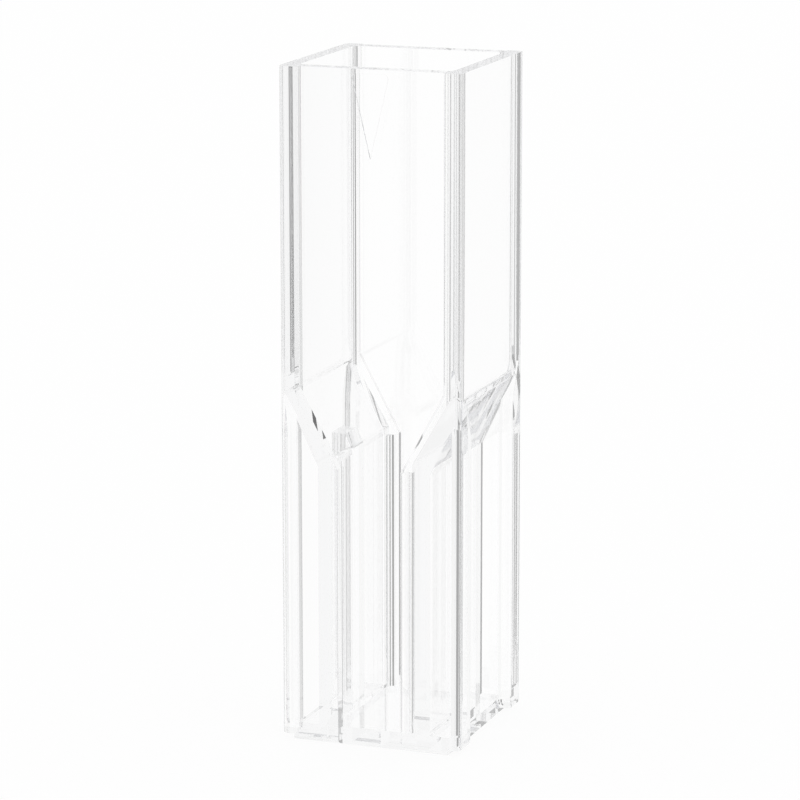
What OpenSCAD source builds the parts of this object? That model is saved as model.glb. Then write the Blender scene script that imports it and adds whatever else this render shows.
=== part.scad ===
// Semi-micro cuvette: an open square tube whose lower half narrows, through a
// funnel, to a measuring chamber held between two clear plates. One moulding.
// X runs across the front plate, Y along the light path, Z up from the base.

/* [Body] */
// Outer width of the square section
body_w = 12.5; // [12.3:0.1:12.7]
// Overall height
body_h = 45; // [44:0.5:48]
// Radius of the four long outer corners
corner_r = 0.4; // [0.2:0.05:0.6]
// Radius of the front and back edges under the base
foot_r = 0.3; // [0.1:0.05:0.6]
// How far the feet of the corner posts end above the base
post_lift = 0.4; // [0.2:0.1:0.8]

/* [Walls] */
// Light path between the front and back plates
light_path = 10; // [9.8:0.1:10.2]
// Thickness of the upper side walls
side_wall = 1; // [0.9:0.05:1.2]
// Fillet in the long corners of the upper tube
tube_fillet = 0.35; // [0.2:0.05:0.5]

/* [Chamber] */
// Inner width of the measuring chamber
chamber_w = 5.4; // [4.4:0.1:5.6]
// Thickness of the two chamber walls
chamber_wall = 1.2; // [1:0.05:1.3]
// Fillet in the long corners of the chamber
chamber_fillet = 0.6; // [0.3:0.05:0.8]
// Thickness of the base plate that closes the chamber
base_t = 1; // [0.8:0.1:1.4]

/* [Funnel] */
// Height where the side walls turn inwards
funnel_top = 23.7; // [23:0.1:25]
// Height where the funnel meets the chamber
funnel_bottom = 19.3; // [19:0.05:20]
// Radius that softens both creases of the funnel
crease_r = 0.6; // [0.3:0.1:0.8]

/* [Side pockets] */
// Height of the pocket's upper edge on the side face
mouth_top = 23.5; // [22.5:0.1:23.6]
// Height where the pocket's ceiling meets the chamber wall
ceiling_low = 18.6; // [17.8:0.1:18.8]
// How far the base's edge and the posts' inner faces sit in from the side face
side_step = 0.85; // [0.7:0.05:1]
// Width of each corner post, seen from the side
post_w = 2.15; // [1.8:0.05:2.4]
// Height where the posts begin to thin out towards the pocket's upper edge
flare_bottom = 21; // [20:0.1:22]
// Width of the middle rib
rib_w = 2.1; // [1.6:0.1:2.4]
// How far the middle rib sits in from the side face
rib_step = 1.1; // [1:0.05:1.3]
// Height of the middle rib
rib_top = 19.5; // [18.8:0.1:20]
// Fillet between the base plate and the posts
base_fillet = 0.5; // [0.3:0.05:0.7]

/* [Window recess] */
// Depth of the recess that keeps the windows clear of the holder
recess_depth = 0.25; // [0.15:0.05:0.3]
// How far the recess's sloping edge spreads
recess_edge = 0.2; // [0.1:0.05:0.4]
// Width of the recess on the upper tube
recess_wide = 10.4; // [10:0.1:10.7]
// Width of the recess on the chamber, which is the window
recess_narrow = 4.5; // [4.2:0.1:5]
// Height where the recess begins to narrow
recess_top = 24.1; // [23.5:0.1:25]
// Height where the recess reaches the window's width
recess_bottom = 18.7; // [18:0.1:19.5]

/* [Light path mark] */
// Width of the triangular mark
mark_w = 2.6; // [2:0.1:3]
// Height of the triangular mark
mark_h = 5.5; // [4.5:0.1:7]
// Gap between the mark and the rim
mark_gap = 0.3; // [0.2:0.1:1]
// Rounding of the mark's two upper corners
mark_corner = 0.3; // [0.1:0.05:0.4]
// Depth of the mark
mark_depth = 0.1; // [0.05:0.05:0.2]

/* [Hidden] */
$fn = 64;
over = 1;                                // how far a cut runs past a face
half_w = body_w / 2;
plate_in = light_path / 2;               // inner face of the front and back plates
tube_in = half_w - side_wall;            // inner face of the upper side walls
chamber_in = chamber_w / 2;
chamber_out = chamber_in + chamber_wall;
step_in = half_w - side_step;            // plane of the base's edge and the posts' inner faces
rib_out = half_w - rib_step;             // outer face of the middle rib
post_in = half_w - post_w;               // inner edge of the posts, along Y
funnel_lean = atan2(funnel_top - funnel_bottom, tube_in - chamber_in);
ceiling_slope = (mouth_top - ceiling_low) / (half_w - chamber_out);
tube_top = body_h + over;

// A shape and its mirror image.
module mirrored(axis) {
    children();
    mirror(axis) children();
}

// Rectangle centred on the origin with true arcs at its corners.
module round_rect(width, depth, radius) {
    square([width - 2 * radius, depth], center = true);
    square([width, depth - 2 * radius], center = true);
    for (x = [-1, 1], y = [-1, 1])
        translate([x * (width / 2 - radius), y * (depth / 2 - radius)]) circle(radius);
}

// Sliver between a corner at the origin and the arc that rounds it. Its two
// sides leave the corner at the angles from and to.
module corner_sliver(from, to, radius) {
    half = (to - from) / 2;
    side = radius / tan(half);
    reach = radius / sin(half);
    middle = from + half;
    difference() {
        polygon([
            [0, 0],
            side * [cos(from), sin(from)],
            reach * [cos(middle), sin(middle)],
            side * [cos(to), sin(to)]
        ]);
        translate(reach * [cos(middle), sin(middle)]) circle(radius);
    }
}

// Turns a profile drawn in X and Z into a bar of the given depth along Y.
module along_y(depth) {
    rotate([90, 0, 0]) linear_extrude(depth, center = true) children();
}

// Turns a profile drawn in Y and Z into a bar of the given width along X.
module along_x(width) {
    rotate([90, 0, 90]) linear_extrude(width, center = true) children();
}

// Side view of the block, with the edges under the base rounded.
module foot_profile() {
    difference() {
        translate([-half_w, 0]) square([body_w, body_h]);
        mirrored([1, 0]) translate([half_w, 0]) corner_sliver(90, 180, foot_r);
    }
}

// Space under the two posts on the +X side, which end above the base.
module post_feet() {
    translate([step_in, -body_w, -over]) cube([half_w, 2 * body_w, post_lift + over]);
}

// The plain outer block that everything is cut from.
module outer_block() {
    intersection() {
        linear_extrude(body_h) round_rect(body_w, body_w, corner_r);
        along_x(body_w + over) foot_profile();
    }
}

// Half of the hollow seen from the front: tube, funnel and chamber.
module hollow_half_profile() {
    difference() {
        polygon([
            [0, base_t], [chamber_in, base_t], [chamber_in, funnel_bottom],
            [tube_in, funnel_top], [tube_in, tube_top], [0, tube_top]
        ]);
        translate([tube_in, funnel_top]) corner_sliver(90, 180 + funnel_lean, crease_r);
    }
    translate([chamber_in, funnel_bottom]) corner_sliver(-90, funnel_lean, crease_r);
}

// Everything that liquid or a pipette can reach.
module hollow() {
    intersection() {
        along_y(light_path) mirrored([1, 0]) hollow_half_profile();
        union() {
            linear_extrude(tube_top) round_rect(chamber_w, light_path, chamber_fillet);
            translate([0, 0, funnel_bottom - crease_r])
                linear_extrude(tube_top) round_rect(2 * tube_in, light_path, tube_fillet);
        }
    }
}

// Front view of one side pocket, under the funnel's slope.
module pocket_profile() {
    mouth_x = half_w + over;
    polygon([
        [chamber_out, -over], [chamber_out, ceiling_low],
        [mouth_x, mouth_top + ceiling_slope * over], [mouth_x, -over]
    ]);
}

// Side view of the pocket's mouth, between the two posts.
module mouth_profile() {
    polygon([
        [-post_in, base_t], [post_in, base_t], [post_in, flare_bottom],
        [plate_in, mouth_top], [plate_in, body_h], [-plate_in, body_h],
        [-plate_in, mouth_top], [-post_in, flare_bottom]
    ]);
}

// Gap between the feet of two posts, seen from above, in front of the base's
// edge. A hollow fillet joins that edge to each post.
module foot_gap() {
    difference() {
        translate([step_in, -post_in]) square([half_w, 2 * post_in]);
        mirrored([0, 1]) translate([step_in, post_in]) corner_sliver(-90, 0, base_fillet);
    }
}

// The cut on the +X side. The base plate and the middle rib stay.
module side_pocket() {
    difference() {
        intersection() {
            along_y(light_path) pocket_profile();
            union() {
                translate([0, -plate_in, base_t]) cube([step_in, light_path, body_h]);
                along_x(2 * body_w) mouth_profile();
                translate([0, 0, -over]) linear_extrude(funnel_bottom) foot_gap();
            }
        }
        translate([0, -rib_w / 2, 0]) cube([rib_out, rib_w, rib_top]);
    }
}

// Cross-section of a recess that is cut down from the X axis into +Y. Its
// sloping edges run from the face to the recess's floor.
module recess_section(from, to) {
    run = over * recess_edge / recess_depth;
    polygon([
        [from - run, -over], [from + recess_edge, recess_depth],
        [to - recess_edge, recess_depth], [to + run, -over]
    ]);
}

// Everything above the recess's slanted edge on the +X side.
module above_slant() {
    lean = atan2(recess_wide / 2 - recess_narrow / 2, recess_top - recess_bottom);
    translate([recess_narrow / 2, 0, recess_bottom]) rotate([0, lean, 0])
        linear_extrude(2 * body_h, center = true) recess_section(-body_h, 0);
}

// The recess of one window face: wide on the tube, narrow on the chamber.
module window_recess() {
    narrow = recess_narrow / 2;
    wide = recess_wide / 2;
    translate([0, 0, -over]) linear_extrude(tube_top + over) recess_section(-narrow, narrow);
    intersection() {
        linear_extrude(tube_top) recess_section(-wide, wide);
        above_slant();
        mirror([1, 0, 0]) above_slant();
    }
}

// Triangle that points down the light path, just under the rim.
module light_path_mark() {
    half = mark_w / 2;
    mark_top = body_h - mark_gap;
    lean = atan2(mark_h, half);
    translate([0, -half_w + recess_depth, 0]) along_y(2 * mark_depth) difference() {
        polygon([[0, mark_top - mark_h], [half, mark_top], [-half, mark_top]]);
        mirrored([1, 0]) translate([half, mark_top]) corner_sliver(180, 180 + lean, mark_corner);
    }
}

module cuvette() {
    color("azure", 0.4) difference() {
        outer_block();
        hollow();
        mirrored([1, 0, 0]) side_pocket();
        mirrored([1, 0, 0]) post_feet();
        mirrored([0, 1, 0]) translate([0, -half_w, 0]) window_recess();
        light_path_mark();
    }
}

cuvette();
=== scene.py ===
import bpy, bmesh, math
from mathutils import Matrix, Vector


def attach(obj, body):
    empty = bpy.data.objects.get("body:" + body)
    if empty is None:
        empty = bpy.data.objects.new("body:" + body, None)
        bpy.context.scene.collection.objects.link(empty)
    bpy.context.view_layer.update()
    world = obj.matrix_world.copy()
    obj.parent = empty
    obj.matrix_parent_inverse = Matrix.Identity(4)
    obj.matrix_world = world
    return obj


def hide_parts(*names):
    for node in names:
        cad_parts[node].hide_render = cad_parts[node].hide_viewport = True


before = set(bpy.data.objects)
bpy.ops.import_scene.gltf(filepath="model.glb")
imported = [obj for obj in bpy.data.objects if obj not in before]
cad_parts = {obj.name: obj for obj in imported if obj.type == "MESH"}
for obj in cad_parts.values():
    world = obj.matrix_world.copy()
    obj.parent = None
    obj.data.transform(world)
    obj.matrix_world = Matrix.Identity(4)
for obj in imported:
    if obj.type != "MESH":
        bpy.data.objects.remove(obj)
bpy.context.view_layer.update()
scene = bpy.context.scene
mm = 0.001


def linear(hexColour, alpha=1.0):
    parts = [int(hexColour[i:i + 2], 16) / 255 for i in (1, 3, 5)]
    return [c / 12.92 if c <= 0.04045 else ((c + 0.055) / 1.055) ** 2.4 for c in parts] + [alpha]


# settings and links go by socket name, or by number where a node repeats a name
def addNode(tree, kind, settings=None, links=None):
    node = tree.nodes.new(kind)
    for name, value in (settings or {}).items():
        if isinstance(name, int) or name in node.inputs:
            node.inputs[name].default_value = value
        else:
            setattr(node, name, value)
    for name, socket in (links or {}).items():
        tree.links.new(socket, node.inputs[name])
    return node


def emptyTree(owner):
    owner.use_nodes = True
    owner.node_tree.nodes.clear()
    return owner.node_tree


def addPiece(name, shape):
    mesh = bpy.data.meshes.new(name)
    shape.to_mesh(mesh)
    shape.free()
    piece = bpy.data.objects.new(name, mesh)
    scene.collection.objects.link(piece)
    return piece


view = {
    "azimuth": 20.25,                   # degrees round the object, 0 looks along +Y
    "elevation": 12.353,
    "roll": -0.043,
    "distance": 255.911,                # mm from the target
    "lens": 173.6,                      # mm
    "sensor": 36,                       # mm wide
    "near": 0.01,                       # m, nothing closer shows
    "far": 10,                          # m, nothing further shows
    "target": (-0.187, 0.0, 22.218),    # mm
}


def makeCamera():
    azimuth, elevation, roll = (math.radians(view[key]) for key in ("azimuth", "elevation", "roll"))
    back = Vector((math.sin(azimuth) * math.cos(elevation), -math.cos(azimuth) * math.cos(elevation),
                   math.sin(elevation)))
    right = Vector((math.cos(azimuth), math.sin(azimuth), 0))
    turned = Matrix((right, back.cross(right), back)).transposed() @ Matrix.Rotation(roll, 3, "Z")
    place = (Vector(view["target"]) + back * view["distance"]) * mm
    camera = bpy.data.objects.new("camera", bpy.data.cameras.new("camera"))
    camera.data.lens = view["lens"]
    camera.data.sensor_width = view["sensor"]
    camera.data.clip_start = view["near"]
    camera.data.clip_end = view["far"]
    camera.matrix_world = Matrix.Translation(place) @ turned.to_4x4()
    scene.collection.objects.link(camera)
    scene.camera = camera


makeCamera()
print("camera set")

# General purpose polystyrene, injection moulded in a polished steel mould: as
# clear and glossy as glass, with a trace of grey where light goes a long way in it.
plastic = {
    "ior": 1.55,
    "roughness": 0.0,
    "depthColour": "#e4e6ee",           # what is left of white, deep in it
    "density": 3.0,                     # per metre
}


def clearPolystyrene():
    material = bpy.data.materials.new("clearPolystyrene")
    tree = emptyTree(material)
    surface = addNode(tree, "ShaderNodeBsdfPrincipled", {
        "Base Color": linear("#ffffff"),
        "Transmission Weight": 1.0,
        "IOR": plastic["ior"],
        "Roughness": plastic["roughness"],
    })
    depth = addNode(tree, "ShaderNodeVolumeAbsorption", {
        "Color": linear(plastic["depthColour"]),
        "Density": plastic["density"],
    })
    addNode(tree, "ShaderNodeOutputMaterial", {}, {
        "Surface": surface.outputs["BSDF"],
        "Volume": depth.outputs["Volume"],
    })
    return material


moulding = {
    "edge": 0.13,                       # mm, how far its edges are rounded
    "steps": 3,
    "sharp": 20,                        # degrees, edges that turn less stay as they are
    "weld": 0.0005,                     # mm
    "flat": 0.5,                        # degrees, faces closer than this are one face
}


def makeMoulding():
    shape = bmesh.new()
    shape.from_mesh(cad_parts["cuvette"].data)
    bmesh.ops.remove_doubles(shape, verts=shape.verts, dist=moulding["weld"] * mm)
    bmesh.ops.dissolve_limit(shape, angle_limit=math.radians(moulding["flat"]), verts=shape.verts,
                             edges=shape.edges)
    for face in shape.faces:
        face.smooth = True
    piece = addPiece("moulding", shape)
    rounding = piece.modifiers.new("rounding", "BEVEL")
    rounding.width = moulding["edge"] * mm
    rounding.segments = moulding["steps"]
    rounding.limit_method = "ANGLE"
    rounding.angle_limit = math.radians(moulding["sharp"])
    rounding.harden_normals = True
    rounding.use_clamp_overlap = True
    normals = piece.modifiers.new("flatFaces", "WEIGHTED_NORMAL")
    normals.keep_sharp = True
    piece.data.materials.append(clearPolystyrene())
    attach(piece, "root")
    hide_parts("cuvette")


makeMoulding()
print("moulding made")

# A white tent with a few dark cards in it, whose reflections draw the edges of
# clear plastic. Azimuth goes round the object from its front, elevation up from
# level, both in degrees. A grey of 1 is white.
studio = {
    "paper": "#f2f2f2",
    "paperSize": 3.0,                   # m from the object to its edge
    "paperGap": 0.02,                   # mm under the object
    "shadow": 0.05,                     # how much of its own shading the paper shows
    "level": 1.0,
    "tent": 0.95,                       # grey of the tent in reflections
    "soft": 1.5,                        # degrees, how far a card's edges fade
    "cards": (
        {"azimuth": 5, "width": 25, "low": -25, "high": 50, "grey": 0.1},
        {"azimuth": 45, "width": 40, "low": -25, "high": 0, "grey": 0.1},
        {"azimuth": 115, "width": 10, "low": -50, "high": 20, "grey": 0.1},
        {"azimuth": 137, "width": 20, "low": -50, "high": 0, "grey": 0.4},
        {"azimuth": 226, "width": 16, "low": -25, "high": 0, "grey": 0.4},
        {"azimuth": 262, "width": 8, "low": -25, "high": 0, "grey": 0.1},
        {"azimuth": 300, "width": 12, "low": -25, "high": 0, "grey": 0.3},
        {"azimuth": 328, "width": 20, "low": -50, "high": 0, "grey": 0.3},
        {"azimuth": 345, "width": 14, "low": 0, "high": 20, "grey": 0.3},
        {"azimuth": 0, "width": 370, "low": 50, "high": 95, "grey": 0.65},      # ceiling
        {"azimuth": 0, "width": 370, "low": -95, "high": -50, "grey": 0.75},    # floor
    ),
    # what shows straight through the plastic, without a reflection in between
    "backdrop": 1.0,
    "behind": (
        {"azimuth": 218, "width": 8, "low": -25, "high": 0, "grey": 0.3},
        {"azimuth": 234, "width": 8, "low": -25, "high": 0, "grey": 0.3},
    ),
}


def makePaper():
    shape = bmesh.new()
    bmesh.ops.create_grid(shape, x_segments=1, y_segments=1, size=studio["paperSize"])
    bmesh.ops.translate(shape, verts=shape.verts, vec=(0, 0, -studio["paperGap"] * mm))
    paper = addPiece("paper", shape)
    material = bpy.data.materials.new("whitePaper")
    tree = emptyTree(material)
    matt = addNode(tree, "ShaderNodeBsdfDiffuse", {"Color": linear(studio["paper"])})
    white = addNode(tree, "ShaderNodeEmission", {"Color": linear("#ffffff"), "Strength": 1.0})
    seen = addNode(tree, "ShaderNodeMixShader", {0: 1 - studio["shadow"]},
                   {1: matt.outputs["BSDF"], 2: white.outputs["Emission"]})
    nothing = addNode(tree, "ShaderNodeBsdfTransparent")
    path = addNode(tree, "ShaderNodeLightPath")
    mix = addNode(tree, "ShaderNodeMixShader", {}, {
        0: path.outputs["Is Camera Ray"], 1: nothing.outputs["BSDF"], 2: seen.outputs["Shader"]})
    addNode(tree, "ShaderNodeOutputMaterial", {}, {"Surface": mix.outputs["Shader"]})
    paper.data.materials.append(material)


# a chain of Math nodes, each of which works on the one before
def addMath(tree, socket, *steps):
    for operation, values in steps:
        settings = {"operation": operation}
        settings.update(enumerate(values, start=1))
        socket = addNode(tree, "ShaderNodeMath", settings, {0: socket}).outputs["Value"]
    return socket


# 1 within half a width of zero, fading to 0 at the edge
def addFade(tree, distance, width):
    fade = addNode(tree, "ShaderNodeMapRange", {
        "interpolation_type": "SMOOTHSTEP",
        "From Min": width / 2 + studio["soft"],
        "From Max": width / 2 - studio["soft"],
    }, {"Value": distance})
    return fade.outputs["Result"]


# a plain grey with the cards laid over it, one after another
def addCards(tree, plain, cards, azimuth, elevation):
    grey = addNode(tree, "ShaderNodeValue")
    grey.outputs["Value"].default_value = plain
    seen = grey.outputs["Value"]
    for card in cards:
        aside = addMath(tree, azimuth, ("SUBTRACT", (card["azimuth"],)), ("WRAP", (180, -180)),
                        ("ABSOLUTE", ()))
        middle = (card["low"] + card["high"]) / 2
        above = addMath(tree, elevation, ("SUBTRACT", (middle,)), ("ABSOLUTE", ()))
        across = addFade(tree, aside, card["width"])
        upright = addFade(tree, above, card["high"] - card["low"])
        share = addNode(tree, "ShaderNodeMath", {"operation": "MULTIPLY"}, {0: across, 1: upright})
        layer = addNode(tree, "ShaderNodeMix", {3: card["grey"]}, {0: share.outputs["Value"], 2: seen})
        seen = layer.outputs[0]
    return seen


def makeSurround():
    world = bpy.data.worlds.new("surround")
    scene.world = world
    tree = emptyTree(world)
    where = addNode(tree, "ShaderNodeTexCoord")
    axes = addNode(tree, "ShaderNodeSeparateXYZ", {}, {"Vector": where.outputs["Generated"]})
    front = addMath(tree, axes.outputs["Y"], ("MULTIPLY", (-1,)))
    angle = addNode(tree, "ShaderNodeMath", {"operation": "ARCTAN2"}, {0: axes.outputs["X"], 1: front})
    azimuth = addMath(tree, angle.outputs["Value"], ("DEGREES", ()))
    elevation = addMath(tree, axes.outputs["Z"], ("ARCSINE", ()), ("DEGREES", ()))
    around = addCards(tree, studio["tent"], studio["cards"], azimuth, elevation)
    behind = addCards(tree, studio["backdrop"], studio["behind"], azimuth, elevation)
    path = addNode(tree, "ShaderNodeLightPath")
    straight = addMath(tree, path.outputs["Glossy Depth"], ("LESS_THAN", (0.5,)))     # no reflection yet
    seen = addNode(tree, "ShaderNodeMix", {}, {0: straight, 2: around, 3: behind})
    light = addNode(tree, "ShaderNodeBackground", {"Strength": studio["level"]}, {"Color": seen.outputs[0]})
    white = addNode(tree, "ShaderNodeBackground", {"Color": linear("#ffffff"), "Strength": 1.0})
    mix = addNode(tree, "ShaderNodeMixShader", {}, {
        0: path.outputs["Is Camera Ray"], 1: light.outputs["Background"], 2: white.outputs["Background"]})
    addNode(tree, "ShaderNodeOutputWorld", {}, {"Surface": mix.outputs["Shader"]})


makePaper()
makeSurround()
print("studio made")

scene.view_settings.view_transform = "Standard"
bounces = 1024                          # light runs a long way inside the slanted walls
scene.cycles.max_bounces = bounces
scene.cycles.transmission_bounces = bounces
scene.cycles.glossy_bounces = bounces
